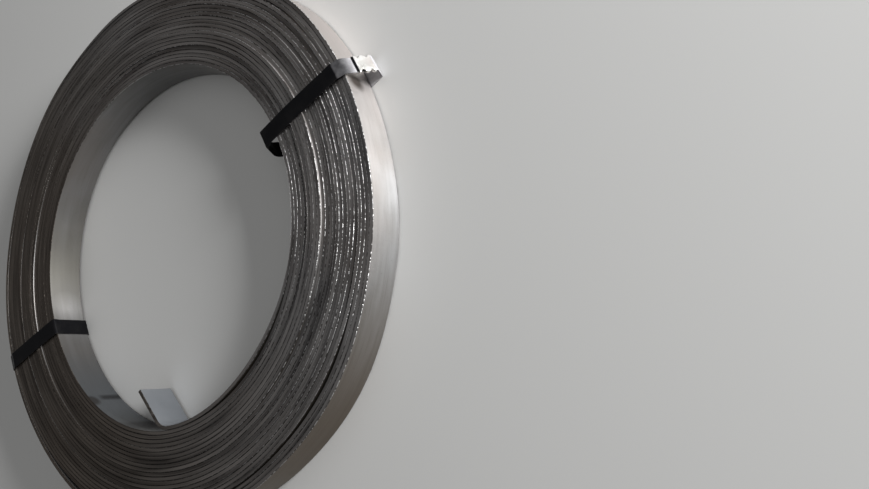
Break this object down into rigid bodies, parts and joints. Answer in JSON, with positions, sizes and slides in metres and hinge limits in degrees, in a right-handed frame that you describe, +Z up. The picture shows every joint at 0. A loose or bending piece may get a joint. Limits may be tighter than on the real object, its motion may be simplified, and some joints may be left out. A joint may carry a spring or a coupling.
{
  "type": "steel strip coil",
  "caption": "Coil of galvanised flat steel strip lying on its end, wound turn on turn round an open bore, its inner end bent free, tied with crimped steel straps.",
  "frame": {"origin": "on the floor, under the middle of the coil as it lies on its end", "axes": "+Z up, along the axis of the bore; -Y towards the side the picture is taken from, with strap_1 on its right"},
  "size_m": [0.5838, 0.5838, 0.0454],
  "materials": {
    "galvanised_strip": "hot-dip galvanised, dull grey with brighter edges, dusty",
    "strap_steel": "black waxed strapping steel, low gloss",
    "seal_steel": "bright zinc-plated sheet, crimped"
  },
  "bodies": {
    "root": {"strip_coil": "galvanised_strip", "strap_1": "strap_steel", "strap_2": "strap_steel", "strap_seal_1": "seal_steel", "strap_seal_2": "seal_steel"}
  },
  "joints": []
}
